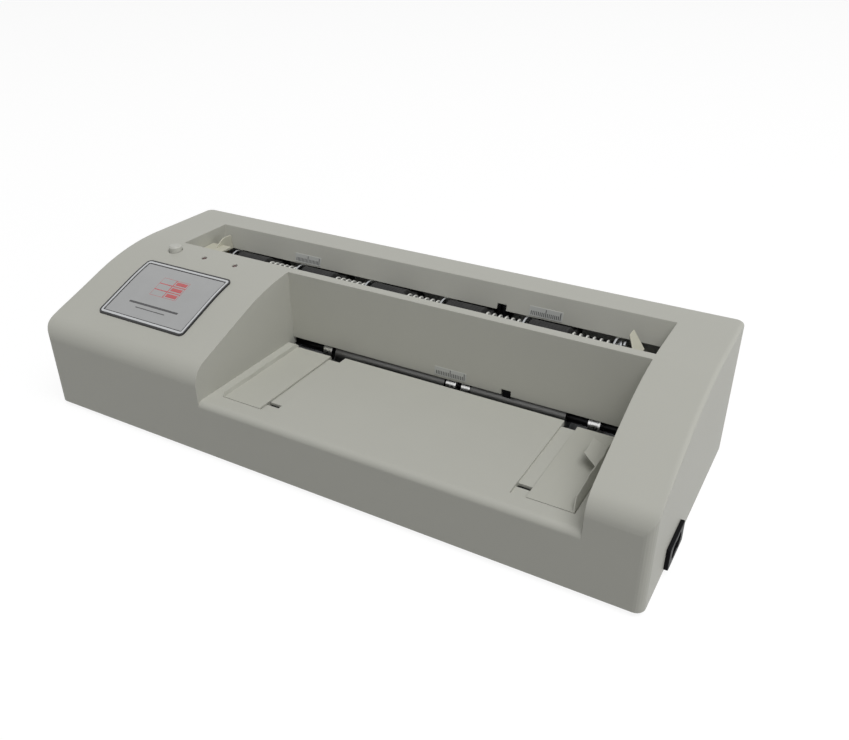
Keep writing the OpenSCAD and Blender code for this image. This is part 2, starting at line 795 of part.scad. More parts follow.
wire_faces = concat(
    [[for (k = [0:wire_n - 1]) k]],
    [for (i = [0:last_ring - 1], k = [0:wire_n - 1])
        let (a = i * wire_n, b = a + wire_n, n = (k + 1) % wire_n)
        each [[a + k, b + k, b + n], [a + k, b + n, a + n]]],
    [[for (k = [wire_n - 1:-1:0]) last_ring * wire_n + k]]
);
least_gap = min([for (i = [0:wind_n - 5], j = [i + 5:wind_n]) norm(coil_points[i] - coil_points[j])]) - wire_d;
echo(blade_spring_least_gap_mm = least_gap);

module blade_springs() {
    color([0.88, 0.89, 0.90]) lift() for (i = [0:strips - 1])
        translate([cuts[i] + roller_in + roller_l, rear_upper[0], rear_upper[1]])
            polyhedron(points = [for (ring = wire_rings) each ring], faces = wire_faces);
}

// ---- front guides, drawn for the right one about the bay's middle ----
module guide_plate(edge) {
    z = deck_h - guide_t;
    box([edge, front_face + guide_front, z], [guide_far, guide_tail, deck_h]);
    for (y = [tongue_y, hook_y]) {
        reach = y < 0 ? 2.5 : tongue_t / 2;
        box([edge + gap, y - tongue_t / 2, deck_h - deck_t - gap - skin],
            [edge + tongue_l, y + tongue_t / 2, z + skin]);
        box([edge + gap, y - 3, deck_h - deck_t - gap - 1.2],
            [edge + tongue_l, y + reach, deck_h - deck_t - gap]);
    }
}

// Thin sheet that rises from the plate's outer edge to a top edge, which starts and ends at two places along Y.
module guide_wing(out, rise, start, end) {
    hull() {
        box([guide_far - 0.9, front_face + guide_front + 0.2, deck_h - 0.9], [guide_far - 0.1, guide_tail, deck_h]);
        box([guide_far + out - 0.6, start, deck_h + rise - 0.5], [guide_far + out, end, deck_h + rise]);
    }
}

// Finger tab that leans over the right guide from its fin.
module finger_tab() {
    hull() {
        box([guide_far - 1.9, -35, deck_h + guide_fin - 0.6], [guide_far - 1.3, -17, deck_h + guide_fin]);
        box([guide_far - 10, -29.5, deck_h + guide_fin + 1.6], [guide_far - 9.5, -15, deck_h + guide_fin + 2.2]);
    }
}

module front_guide_left() {
    color([0.82, 0.82, 0.78]) lift() translate([bay_mid, 0, 0]) mirror([1, 0, 0]) {
        guide_plate(guide_edge);
        guide_wing(0.2, guide_lip, front_face + guide_front + 1.5, guide_tail - 1);
    }
}

module front_guide_right() {
    color([0.82, 0.82, 0.78]) lift() translate([bay_mid, 0, 0]) {
        guide_plate(guide_edge + guide_step);
        guide_wing(-1.3, guide_fin, front_face + guide_front + 5, -14);
        finger_tab();
    }
}

// ---- rear guides ----
base_z = rail_top + gap;
fence_back = back_y(base_z) - 1;

module rear_guide_foot(x0, x1, back) {
    box([x0, rail_y - rail_t / 2 - gap - 1.2, base_z], [x1, back, base_z + guide_t]);
    for (y = [rail_y - rail_t / 2 - gap - 1.2, rail_y + rail_t / 2 + gap])
        box([x0, y, base_z - 2.5], [x1, y + 1.2, base_z + skin]);
}

module rear_guide_left() {
    shelf = base_z + 5.4;
    color([0.90, 0.89, 0.82]) lift() {
        rear_guide_foot(hopper_x0 + gap, -fence_x, fence_back);
        box([hopper_x0 + gap, rail_y + 4, shelf - guide_t], [-fence_x + 7, 43, shelf]);
        across(-fence_x - 1, -fence_x) polygon([
            [rail_y, base_z], [fence_back, base_z], [fence_back - 1, base_z + fence_h],
            [fence_back - 9, base_z + fence_h], [fence_back - 17, shelf], [rail_y + 4, shelf]
        ]);
    }
}

module rear_guide_right() {
    color([0.90, 0.89, 0.82]) lift() {
        rear_guide_foot(fin_foot, bay_x1 - gap, 35);
        hull() {
            box([fin_foot, 29, base_z], [fin_foot + 1, 44, base_z + 1]);
            box([fin_tip, 43, base_z + fence_h - 3], [fin_tip + 0.6, 50, base_z + fence_h - 2]);
        }
    }
}

// ---- paper flags ----
module front_flag_bracket() {
    half = flag_w / 2 + gap;
    color(black) lift() difference() {
        box([flag_x - half - ear_t, ridge_front + wall, flag_pin[1] - 3],
            [flag_x + half + ear_t, flag_pin[0] + 2.5, flag_pin[1] + 6]);
        box([flag_x - half, ridge_front + wall - 1, flag_pin[1] - 4],
            [flag_x + half, flag_pin[0] + 4, flag_pin[1] + 3]);
        bar(flag_pin, pin_r + run_fit, flag_x - 10, flag_x + 10);
    }
}

module front_paper_flag() {
    half = flag_w / 2;
    color(black) lift() {
        bar(flag_pin, pin_r, flag_x - half - gap - ear_t, flag_x + half + gap + ear_t);
        bar(flag_pin, 2, flag_x - half, flag_x + half);
        across(flag_x - half, flag_x + half) polygon([
            flag_pin + [-1.4, 0], [14, slot_top + 3.4], [12.2, slot_top + 1.6], [12.2, deck_h - 0.4],
            [13.8, deck_h - 0.4], [14.8, slot_top + 2], flag_pin + [1.2, 0]
        ]);
    }
}

module rear_flag_bracket() {
    half = flag_w / 2 + gap;
    low = rear_flag_pin[1] - 2.5;
    high = hopper_low + 5;
    color(black) lift() difference() {
        across(rear_flag_x - half - ear_t, rear_flag_x + half + ear_t) polygon([
            [back_y(hopper_low + 3.6) + wall, hopper_low + 3.6], [back_y(high) + wall, high],
            [64.5, high], [64.5, low], [59, low], [59, hopper_low + 3.6]
        ]);
        box([rear_flag_x - half, 50, low - 1], [rear_flag_x + half, 67, hopper_low + 3.5]);
        bar(rear_flag_pin, pin_r + run_fit, rear_flag_x - 10, rear_flag_x + 10);
    }
}

module rear_paper_flag() {
    half = flag_w / 2;
    prong = 1.6;
    color(black) lift() {
        bar(rear_flag_pin, pin_r, rear_flag_x - half - gap - ear_t, rear_flag_x + half + gap + ear_t);
        bar(rear_flag_pin, 1.8, rear_flag_x - half, rear_flag_x + half);
        for (x = [rear_flag_x - half, rear_flag_x + half - prong])
            across(x, x + prong) polygon([
                rear_flag_pin + [0, -1], [54, hopper_low - 4], [53.3, hopper_low + 2.6],
                [54.8, hopper_low + 2.6], [55.8, hopper_low - 2], rear_flag_pin + [0, 1]
            ]);
    }
}

// ---- electrics ----
board_low = base_t + 6;

module circuit_board() {
    color([0.10, 0.38, 0.22]) lift() difference() {
        box([board_x[0], board_y[0], board_low], [board_x[1], board_y[1], board_low + board_t]);
        for (p = standoff_spots) translate([p[0], p[1], board_low - 1]) cylinder(r = screw_r, h = 4);
    }
}

module board_standoffs() {
    color([0.85, 0.82, 0.70]) lift() for (p = standoff_spots) translate([p[0], p[1], base_t]) {
        cylinder(r = 3, h = board_low - base_t);
        cylinder(r = screw_r, h = board_low - base_t + board_t);
        translate([0, 0, board_low - base_t + board_t]) cylinder(r = 2.4, h = 1.2);
    }
}

module board_components() {
    color([0.20, 0.20, 0.22]) lift() translate([board_x[0], board_y[0], board_low + board_t]) {
        translate([42, 17, 0]) cube([30, 26, 17]);
        translate([80, 15, 0]) cube([16, 12, 12]);
        translate([12, 37, 0]) cube([20, 12, 9]);
        for (x = [82, 94]) translate([x, 39, 0]) cylinder(r = 5, h = 14);
        for (y = [17, 24, 31]) translate([5, y, 0]) cube([7, 4, 6]);
    }
}

module switch_board() {
    color([0.10, 0.38, 0.22]) lift() 
        box([-half_l + 29.5, -2, board_z], [-half_l + 94, 15, board_z + board_t]);
}

button_top = roof_at(button_at[1]) + button_proud;
plunger_top = board_z + board_t + switch_h + plunger_h;

module start_switch() {
    color(black) lift() {
        translate([button_at[0] - 3, button_at[1] - 3, board_z + board_t]) cube([6, 6, switch_h]);
        translate([button_at[0], button_at[1], board_z + board_t]) cylinder(r = 1.7, h = switch_h + plunger_h);
    }
}

module start_button() {
    collar = roof_at(button_at[1] - button_r) - wall - 2;
    low = plunger_top + button_run + gap;
    color([0.90, 0.89, 0.85]) lift() translate([button_at[0], button_at[1], 0]) {
        translate([0, 0, collar - 1]) cylinder(r = button_r, h = button_top - collar);
        translate([0, 0, button_top - 1 - skin]) cylinder(r1 = button_r, r2 = button_r - 1, h = 1);
        translate([0, 0, collar - 1.5]) cylinder(r = button_r + 1.6, h = 1.5);
        translate([0, 0, low]) cylinder(r = 2.2, h = collar - low);
    }
}

module indicator_lamps() {
    color([0.35, 0.08, 0.08]) lift() for (p = lamps_at) {
        top = roof_at(p[1]) + 0.2;
        translate([p[0], p[1], top - 5]) cylinder(r = lamp_r, h = 5 - lamp_r);
        translate([p[0], p[1], top - lamp_r]) intersection() {
            sphere(r = lamp_r);
            translate([0, 0, lamp_r]) cube(2 * lamp_r, center = true);
        }
        translate([p[0], p[1], top - 6]) cylinder(r = lamp_r - 0.2, h = 1.2);
        for (s = [-0.7, 0.7])
            translate([p[0] + s, p[1], board_z + board_t]) cylinder(r = 0.3, h = top - 5.8 - board_z - board_t);
    }
}

module figure_eight(l, r, x0, x1) {
    for (s = [-1, 1]) bar(inlet_at + [s * (l / 2 - r), 0], r, x0, x1);
    box([x0, inlet_at[0] - l / 2 + r, inlet_at[1] - r * 0.8], [x1, inlet_at[0] + l / 2 - r, inlet_at[1] + r * 0.8]);
}

pin_pitch = 8.6;
cavity_l = 16.6;
cavity_r = 4.2;

module power_inlet() {
    body_lo = [half_l - inlet_deep, inlet_at[0] - inlet_l / 2 + 2 + gap, inlet_at[1] - inlet_h / 2 + 1.6 + gap];
    body_hi = [half_l + 1, inlet_at[0] + inlet_l / 2 - 2 - gap, inlet_at[1] + inlet_h / 2 - 1.6 - gap];
    color(black) lift() difference() {
        union() {
            translate([half_l, inlet_at[0], inlet_at[1]]) rotate([90, 0, 90])
                linear_extrude(inlet_t) polygon(rounded(inlet_l, inlet_h, 1.4));
            box(body_lo, body_hi);
        }
        figure_eight(cavity_l, cavity_r, half_l - inlet_deep + 3, half_l + inlet_t + 1);
        for (s = [-1, 1]) bar(inlet_at + [s * pin_pitch / 2, 0], 1.2, half_l - inlet_deep - 1, half_l);
    }
}

module inlet_pins() {
    color([0.80, 0.78, 0.70]) lift() for (s = [-1, 1])
        bar(inlet_at + [s * pin_pitch / 2, 0], 1.2, half_l - inlet_deep - 4, half_l - 1);
}

// ---- badge and scales ----
// Layer on the casing's slope, from one height over it to another, inside a plan outline.
module slope_layer(low, high, l, d, r) {
    intersection() {
        difference() {
            across(badge_at[0] - l / 2 - 1, badge_at[0] + l / 2 + 1) polygon(casing_outline(-high));
            across(badge_at[0] - l / 2 - 2, badge_at[0] + l / 2 + 2) polygon(casing_outline(-low, -1));
        }
        translate([badge_at[0], badge_at[1], slope_z - 40]) linear_extrude(80) polygon(rounded(l, d, r));
    }
}

module badge_frame() {
    color([0.13, 0.13, 0.14]) lift() difference() {
        slope_layer(0, badge_t, badge_l, badge_d, badge_r);
        translate([badge_at[0], badge_at[1], slope_z - 40]) linear_extrude(80)
            polygon(rounded(badge_l - 2 * badge_rim, badge_d - 2 * badge_rim, badge_r - badge_rim / 2));
    }
}

module badge_plate() {
    color([0.90, 0.90, 0.90]) lift()
        slope_layer(0, badge_t / 2, badge_l - 2 * badge_rim, badge_d - 2 * badge_rim, badge_r - badge_rim / 2);
}

scale_t = 0.3;

module front_scale() {
    color([0.75, 0.76, 0.78]) lift()
        box([bay_mid - scale_l / 2, ridge_front - scale_t, slot_top + 1.6],
            [bay_mid + scale_l / 2, ridge_front, slot_top + 1.6 + scale_h]);
}

module rear_scale(x) {
    z0 = hopper_low + 1;
    z1 = z0 + scale_h;
    across(x - scale_l / 2, x + scale_l / 2) polygon([
        [back_y(z0), z0], [back_y(z1), z1], [back_y(z1) - scale_t, z1], [back_y(z0) - scale_t, z0]
    ]);
}

scale_x = 86.5;

module rear_scale_left() {
    color([0.75, 0.76, 0.78]) lift() rear_scale(-scale_x);
}

module rear_scale_right() {
    color([0.75, 0.76, 0.78]) lift() rear_scale(scale_x);
}

top_cover();
base_plate();
rubber_feet();
cover_screws();
left_side_plate();
right_side_plate();
tie_bars();
shaft_bushes();
frame_screws();
exit_ramp();
strip_deflector();
rear_guide_rail();
motor();
motor_screws();
motor_shaft();
motor_pinion();
idler_studs();
drive_idler();
front_lower_gear();
front_upper_gear();
transfer_idler();
rear_drive_gear();
rear_lower_pair_gear();
rear_upper_pair_gear();
rear_upper_shaft();
rear_upper_rollers();
rear_upper_blades();
blade_springs();
rear_lower_shaft();
rear_lower_rollers();
rear_lower_blades();
front_upper_shaft();
front_upper_rollers();
front_upper_blades();
front_lower_shaft();
front_feed_sleeves();
front_lower_blades();
front_guide_left();
front_guide_right();
rear_guide_left();
rear_guide_right();
front_paper_flag();
rear_paper_flag();
front_flag_bracket();
rear_flag_bracket();
circuit_board();
board_components();
board_standoffs();
switch_board();
start_switch();
start_button();
indicator_lamps();
power_inlet();
inlet_pins();
badge_frame();
badge_plate();
front_scale();
rear_scale_left();
rear_scale_right();
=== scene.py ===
"""Looks of a powered desk card cutter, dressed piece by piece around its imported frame.

Everything is in metres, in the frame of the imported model: X runs along the machine, Y from its front
to its rear and Z up from the table that its feet stand on.
"""

import json
import logging
import math
from collections.abc import Callable, Iterable, Sequence
from dataclasses import dataclass, field
from enum import Enum

import bmesh
import bpy
from bmesh.types import BMEdge, BMesh, BMFace, BMVert
from mathutils import Matrix, Vector

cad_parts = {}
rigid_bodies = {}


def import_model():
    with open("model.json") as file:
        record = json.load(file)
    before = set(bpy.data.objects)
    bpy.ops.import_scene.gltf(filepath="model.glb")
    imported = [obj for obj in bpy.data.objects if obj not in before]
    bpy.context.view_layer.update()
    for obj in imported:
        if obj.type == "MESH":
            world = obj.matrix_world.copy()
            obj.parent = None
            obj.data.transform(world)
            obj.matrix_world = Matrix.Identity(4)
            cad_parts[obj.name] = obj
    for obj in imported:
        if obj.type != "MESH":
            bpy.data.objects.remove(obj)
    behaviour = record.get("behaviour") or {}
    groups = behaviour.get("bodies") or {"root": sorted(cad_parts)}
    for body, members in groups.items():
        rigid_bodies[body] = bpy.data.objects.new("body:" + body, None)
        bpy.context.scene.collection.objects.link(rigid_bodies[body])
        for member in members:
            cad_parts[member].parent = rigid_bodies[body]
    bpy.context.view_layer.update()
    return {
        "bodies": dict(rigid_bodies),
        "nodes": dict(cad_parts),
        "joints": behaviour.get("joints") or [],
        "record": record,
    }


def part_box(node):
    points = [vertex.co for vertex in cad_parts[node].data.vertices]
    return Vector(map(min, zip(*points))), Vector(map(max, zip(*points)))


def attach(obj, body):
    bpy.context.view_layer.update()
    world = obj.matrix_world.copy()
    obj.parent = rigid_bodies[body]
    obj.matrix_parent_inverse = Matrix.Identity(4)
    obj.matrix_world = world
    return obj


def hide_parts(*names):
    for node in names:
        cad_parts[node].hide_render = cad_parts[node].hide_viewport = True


LOG = logging.getLogger("card_cutter")
MM = 0.001
UP = Vector((0, 0, 1))


# ---------------------------------------------------------------- shader expressions


class Signal:
    """A value that runs through nodes and takes Python's operators."""

    def __init__(self, graph: "Nodes", socket: bpy.types.NodeSocket) -> None:
        """Wraps an output socket.

        Args:
            graph: The nodes that it belongs to.
            socket: The output that carries the value.
        """
        self.graph = graph
        self.socket = socket

    def math(self, operation: str, other: "Signal | float", swapped: bool = False) -> "Signal":
        """Joins this value and another one with a Math node.

        Args:
            operation: The Math node's operation.
            other: The second value.
            swapped: Whether the other value comes first.

        Returns:
            The result.
        """
        first, second = (other, self) if swapped else (self, other)
        return self.graph.node("ShaderNodeMath", {"operation": operation}, {0: first, 1: second})

    def __add__(self, other: "Signal | float") -> "Signal":
        """Adds."""
        return self.math("ADD", other)

    __radd__ = __add__

    def __sub__(self, other: "Signal | float") -> "Signal":
        """Subtracts."""
        return self.math("SUBTRACT", other)

    def __rsub__(self, other: "Signal | float") -> "Signal":
        """Subtracts from."""
        return self.math("SUBTRACT", other, True)

    def __mul__(self, other: "Signal | float") -> "Signal":
        """Multiplies."""
        return self.math("MULTIPLY", other)

    __rmul__ = __mul__

    def __pow__(self, power: float) -> "Signal":
        """Raises to a power."""
        return self.math("POWER", power)


class Nodes:
    """The nodes of one tree."""

    def __init__(self, tree: bpy.types.NodeTree) -> None:
        """Wraps a tree.

        Args:
            tree: The tree of a material or of the world.
        """
        self.tree = tree

    def feed(self, socket: bpy.types.NodeSocket, value: "Signal | float | Sequence[float]") -> None:
        """Links a signal to a socket, or sets the socket's own value."""
        if isinstance(value, Signal):
            self.tree.links.new(value.socket, socket)
        else:
            socket.default_value = value

    def node(
        self,
        kind: str,
        settings: dict[str, object] | None = None,
        sockets: dict[str | int, object] | None = None,
        output: str | int = 0,
    ) -> Signal:
        """Adds a node.

        Args:
            kind: The node's type.
            settings: Its settings, set before its sockets.
            sockets: The values or signals of its inputs.
            output: The output that is returned.

        Returns:
            The signal of that output.
        """
        made = self.tree.nodes.new(kind)
        for name, value in (settings or {}).items():
            setattr(made, name, value)
        for key, value in (sockets or {}).items():
            self.feed(made.inputs[key], value)
        return Signal(self, made.outputs[output])

    def seen(self) -> Signal:
        """1 for rays from the camera and for those that metal or glass sends on, otherwise 0."""
        kinds = ("Is Camera Ray", "Is Glossy Ray", "Is Transmission Ray")
        camera, glossy, passed = (self.node("ShaderNodeLightPath", output=kind) for kind in kinds)
        return camera.math("MAXIMUM", glossy).math("MAXIMUM", passed)


class Graph(Nodes):
    """The nodes of one material, around a Principled shader."""

    def __init__(self, name: str) -> None:
        """Starts a material.

        Args:
            name: The material's name.
        """
        self.material = bpy.data.materials.new(name)
        self.material.use_nodes = True
        super().__init__(self.material.node_tree)
        self.shader = self.tree.nodes["Principled BSDF"]

    def place(self) -> Signal:
        """The surface's own Object coordinates."""
        return self.node("ShaderNodeTexCoord", output="Object")

    def noise(self, grain: float, detail: float = 2.0, stretch: Sequence[float] = (1, 1, 1)) -> Signal:
        """Cloudy noise, from 0 to 1.

        Args:
            grain: The size of one cloud, in metres.
            detail: The number of finer layers.
            stretch: How much finer the clouds are along X, Y and Z.

        Returns:
            The noise.
        """
        spread = self.node("ShaderNodeMapping", sockets={"Vector": self.place(), "Scale": tuple(stretch)})
        sockets = {"Vector": spread, "Scale": 1 / grain, "Detail": detail}
        return self.node("ShaderNodeTexNoise", sockets=sockets)

    def mix(self, share: "Signal | float", first: Sequence[float], second: Sequence[float]) -> Signal:
        """Mixes two colours."""
        return self.node(
            "ShaderNodeMix", {"data_type": "RGBA"}, {0: share, 6: tuple(first), 7: tuple(second)}, output=2
        )

    def between(self, value: Signal, low: float, high: float) -> Signal:
        """Stretches the part of a value from low to high to the span from 0 to 1, clipped."""
        return self.node("ShaderNodeMapRange", sockets={"Value": value, "From Min": low, "From Max": high})

    def bump(self, height: Signal, depth: float, strength: float = 1.0) -> Signal:
        """A normal from a height.

        Args:
            height: The height, from 0 to 1.
            depth: The real depth of that span, in metres.
            strength: How much of the relief is used.

        Returns:
            The normal.
        """
        sockets = {"Height": height, "Distance": depth, "Strength": strength}
        return self.node("ShaderNodeBump", sockets=sockets)

    def dress(self, **values: object) -> bpy.types.Material:
        """Feeds the shader, with underscores for the spaces in its sockets' names.

        Returns:
            The material.
        """
        for name, value in values.items():
            self.feed(self.shader.inputs[name.replace("_", " ")], value)
        return self.material


@dataclass(frozen=True)
class Tone:
    """A colour in linear light."""

    red: float
    green: float
    blue: float

    def shade(self, factor: float = 1.0) -> tuple[float, float, float, float]:
        """The colour, darker or lighter by a factor, with full cover."""
        return (self.red * factor, self.green * factor, self.blue * factor, 1.0)


# ---------------------------------------------------------------- finishes


@dataclass(frozen=True)
class Plastic:
    """A moulded plastic: spark-eroded grain, faint flow clouds and a roughness that wanders with them."""

    tone: Tone
    roughness: float = 0.5
    grain: float = 0.7 * MM
    relief: float = 0.012 * MM
    clouds: float = 0.025
    specular: float = 0.28

    def material(self, name: str) -> bpy.types.Material:
        """Builds the material."""
        g = Graph(name)
        fine = g.noise(self.grain, 3)
        broad = g.noise(38 * MM, 3)
        rough = self.roughness + (fine - 0.5) * 0.10 + (broad - 0.5) * 0.08
        return g.dress(
            Base_Color=g.mix(broad, self.tone.shade(1 - self.clouds), self.tone.shade(1 + self.clouds)),
            Roughness=rough,
            Specular_IOR_Level=self.specular,
            Normal=g.bump(fine, self.relief),
        )


@dataclass(frozen=True)
class BrushedMetal:
    """A metal with the fine lines of its grinding, drawing or turning."""

    tone: Tone
    roughness: float = 0.32
    stretch: tuple[float, float, float] = (1, 30, 30)
    grain: float = 9 * MM
    relief: float = 0.006 * MM
    stain: float = 0.10

    def material(self, name: str) -> bpy.types.Material:
        """Builds the material."""
        g = Graph(name)
        lines = g.noise(self.grain, 3, self.stretch)
        broad = g.noise(14 * MM, 2)
        share = lines * 0.6 + broad * 0.4
        return g.dress(
            Base_Color=g.mix(share, self.tone.shade(1 - self.stain), self.tone.shade(1 + self.stain)),
            Metallic=1.0,
            Roughness=self.roughness + (lines - 0.5) * 0.22,
            Normal=g.bump(lines, self.relief),
        )


@dataclass(frozen=True)
class BlackRubber:
    """A moulded rubber with a dull skin and a trace of paper dust."""

    tone: Tone
    dust: Tone = Tone(0.045, 0.045, 0.043)
    roughness: float = 0.72

    def material(self, name: str) -> bpy.types.Material:
        """Builds the material."""
        g = Graph(name)
        fine = g.noise(0.5 * MM, 3)
        patch = g.between(g.noise(6 * MM, 4), 0.50, 0.78)
        return g.dress(
            Base_Color=g.mix(patch * 0.5, self.tone.shade(), self.dust.shade()),
            Roughness=self.roughness + (fine - 0.5) * 0.15,
            Specular_IOR_Level=0.35,
            Normal=g.bump(fine, 0.03 * MM),
        )


@dataclass(frozen=True)
class PrintedFilm:
    """A printed film or tinted resin under a clear gloss; the springs also use it, in a pale tone that
    paints their bright reflection.
    """

    tone: Tone
    roughness: float = 0.22
    metallic: float = 0.0
    coat: float = 0.5
    mottle: float = 0.03

    def material(self, name: str) -> bpy.types.Material:
        """Builds the material."""
        g = Graph(name)
        soft = g.noise(9 * MM, 2)
        orange_peel = g.noise(2.2 * MM, 1)
        return g.dress(
            Base_Color=g.mix(soft, self.tone.shade(1 - self.mottle), self.tone.shade(1 + self.mottle)),
            Metallic=self.metallic,
            Roughness=self.roughness + (soft - 0.5) * 0.06,
            Coat_Weight=self.coat,
            Coat_Roughness=0.08,
            Normal=g.bump(orange_peel, 0.008 * MM),
        )


@dataclass(frozen=True)
class BoardLacquer:
    """A circuit board: green lacquer over the faint pattern of its copper tracks."""

    tone: Tone
    track: Tone

    def material(self, name: str) -> bpy.types.Material:
        """Builds the material."""
        g = Graph(name)
        cells = g.node(
            "ShaderNodeTexBrick",
            {"offset": 0.5, "squash": 1.0},
            {"Vector": g.place(), "Scale": 120.0, "Mortar Size": 0.03, "Mortar Smooth": 0.1},
            output="Fac",
        )
        weave = g.noise(0.6 * MM, 1)
        return g.dress(
            Base_Color=g.mix(cells, self.tone.shade(), self.track.shade()),
            Roughness=0.34 + (weave - 0.5) * 0.1,
            Coat_Weight=0.3,
            Normal=g.bump(cells * 0.8 + weave * 0.2, 0.03 * MM),
        )


class Finish(Enum):
    """The finishes of the machine's pieces."""

    CASING = Plastic(Tone(0.500, 0.500, 0.452), 0.50)
    GUIDE = Plastic(Tone(0.490, 0.490, 0.438), 0.42, 0.9 * MM, 0.008 * MM, 0.04)
    CREAM = Plastic(Tone(0.560, 0.550, 0.455), 0.40, 0.9 * MM, 0.008 * MM, 0.04)
    BUTTON = Plastic(Tone(0.530, 0.530, 0.485), 0.40, 0.9 * MM, 0.004 * MM, 0.01)
    NYLON = Plastic(Tone(0.66, 0.64, 0.54), 0.38, 1.2 * MM, 0.006 * MM, 0.03)
    BLACK = Plastic(Tone(0.008, 0.008, 0.009), 0.40, 0.6 * MM, 0.010 * MM, 0.10, 0.05)
    COMPONENT = Plastic(Tone(0.030, 0.030, 0.034), 0.45, 0.8 * MM, 0.010 * MM, 0.20)
    CAN = Plastic(Tone(0.20, 0.205, 0.215), 0.36, 1.5 * MM, 0.006 * MM, 0.05, 0.6)
    RUBBER = BlackRubber(Tone(0.014, 0.014, 0.014))
    STEEL = BrushedMetal(Tone(0.52, 0.52, 0.53), 0.30)
    # Front shafts: a near-black tone that paints the deep shade inside the front slot onto them.
    SHAFT = BrushedMetal(Tone(0.030, 0.030, 0.032), 0.45)
    # Front lower hubs: bright steel whose tone is lifted further to paint white glints on them.
    HUB = BrushedMetal(Tone(0.84, 0.84, 0.83), 0.28, (30, 1, 1), 6 * MM, 0.003 * MM, 0.04)
    BLADE = BrushedMetal(Tone(0.40, 0.41, 0.42), 0.26, (30, 1, 1), 6 * MM, 0.003 * MM, 0.04)
    # Blade springs: a pale, mostly non-metal tone that paints the bright reflection of the white
    # surroundings over their plated steel.
    SPRING = PrintedFilm(Tone(0.78, 0.78, 0.74), 0.34, 0.35, 0.2)
    SLEEVE = BrushedMetal(Tone(0.20, 0.20, 0.195), 0.42, (40, 1, 1), 8 * MM, 0.010 * MM, 0.14)
    SHEET = BrushedMetal(Tone(0.50, 0.51, 0.52), 0.42, (2, 2, 2), 16 * MM, 0.004 * MM, 0.10)
    BRONZE = BrushedMetal(Tone(0.50, 0.34, 0.14), 0.40, (4, 1, 1), 5 * MM, 0.006 * MM, 0.10)
    PIN = BrushedMetal(Tone(0.62, 0.60, 0.52), 0.25, (1, 8, 8), 5 * MM, 0.002 * MM, 0.05)
    BOARD = BoardLacquer(Tone(0.012, 0.085, 0.035), Tone(0.030, 0.140, 0.060))
    BADGE_BLACK = PrintedFilm(Tone(0.008, 0.008, 0.009), 0.30, 0.0, 0.05)
    BADGE_SILVER = PrintedFilm(Tone(0.52, 0.53, 0.54), 0.30, 0.6, 0.6)
    BADGE_FACE = PrintedFilm(Tone(0.395, 0.40, 0.400), 0.30, 0.0, 0.15, 0.05)
    BADGE_RED = PrintedFilm(Tone(0.50, 0.055, 0.060), 0.26, 0.0, 0.6)
    BADGE_INK = PrintedFilm(Tone(0.030, 0.030, 0.032), 0.30, 0.0, 0.4)
    FILM = PrintedFilm(Tone(0.50, 0.51, 0.49), 0.34, 0.0, 0.2)
    TICK = PrintedFilm(Tone(0.060, 0.062, 0.066), 0.40, 0.0, 0.1)
    LAMP = PrintedFilm(Tone(0.050, 0.006, 0.006), 0.30, 0.0, 0.2)


class Round(Enum):
    """Radii of broken edges, in metres."""

    FINE = 0.10 * MM
    SMALL = 0.20 * MM
    PLAIN = 0.35 * MM


# ---------------------------------------------------------------- bench


def sharp_edges(bm: BMesh, angle: float, keep: Callable[[BMEdge], bool] | None = None) -> list[BMEdge]:
    """Finds the outward edges that turn by more than an angle.

    Args:
        bm: The mesh.
        angle: The least turn, in degrees.
        keep: A further test on an edge.

    Returns:
        The edges.
    """
    least = math.radians(angle)
    found = [e for e in bm.edges if e.is_manifold and e.is_convex and e.calc_face_angle(0) > least]
    return [e for e in found if keep is None or keep(e)]


def round_off(bm: BMesh, edges: Sequence[BMEdge], radius: float, segments: int = 2) -> None:
    """Rounds edges with a bevel of true arcs."""
    if edges:
        bmesh.ops.bevel(
            bm,
            geom=list(edges),
            offset=radius,
            offset_type="OFFSET",
            segments=segments,
            profile=0.5,
            affect="EDGES",
            clamp_overlap=False,
            material=-1,
        )


def cut_along(bm: BMesh, axis: Vector, places: Iterable[float]) -> None:
    """Cuts every face with planes square to an axis, so that the mesh can bend there."""
    for place in places:
        geometry = bm.verts[:] + bm.edges[:] + bm.faces[:]
        bmesh.ops.bisect_plane(bm, geom=geometry, plane_co=axis * place, plane_no=axis)


def steps(low: float, high: float, pitch: float) -> list[float]:
    """Places between two ends, about one pitch apart."""
    count = max(1, round((high - low) / pitch))
    return [low + (high - low) * i / count for i in range(1, count)]


def block(bm: BMesh, low: Sequence[float], high: Sequence[float]) -> list[BMVert]:
    """Adds a box between two corners and returns its vertices."""
    middle = (Vector(low) + Vector(high)) / 2
    scale = Matrix.Diagonal((*(Vector(high) - Vector(low)), 1))
    return bmesh.ops.create_cube(bm, size=1, matrix=Matrix.Translation(middle) @ scale)["verts"]


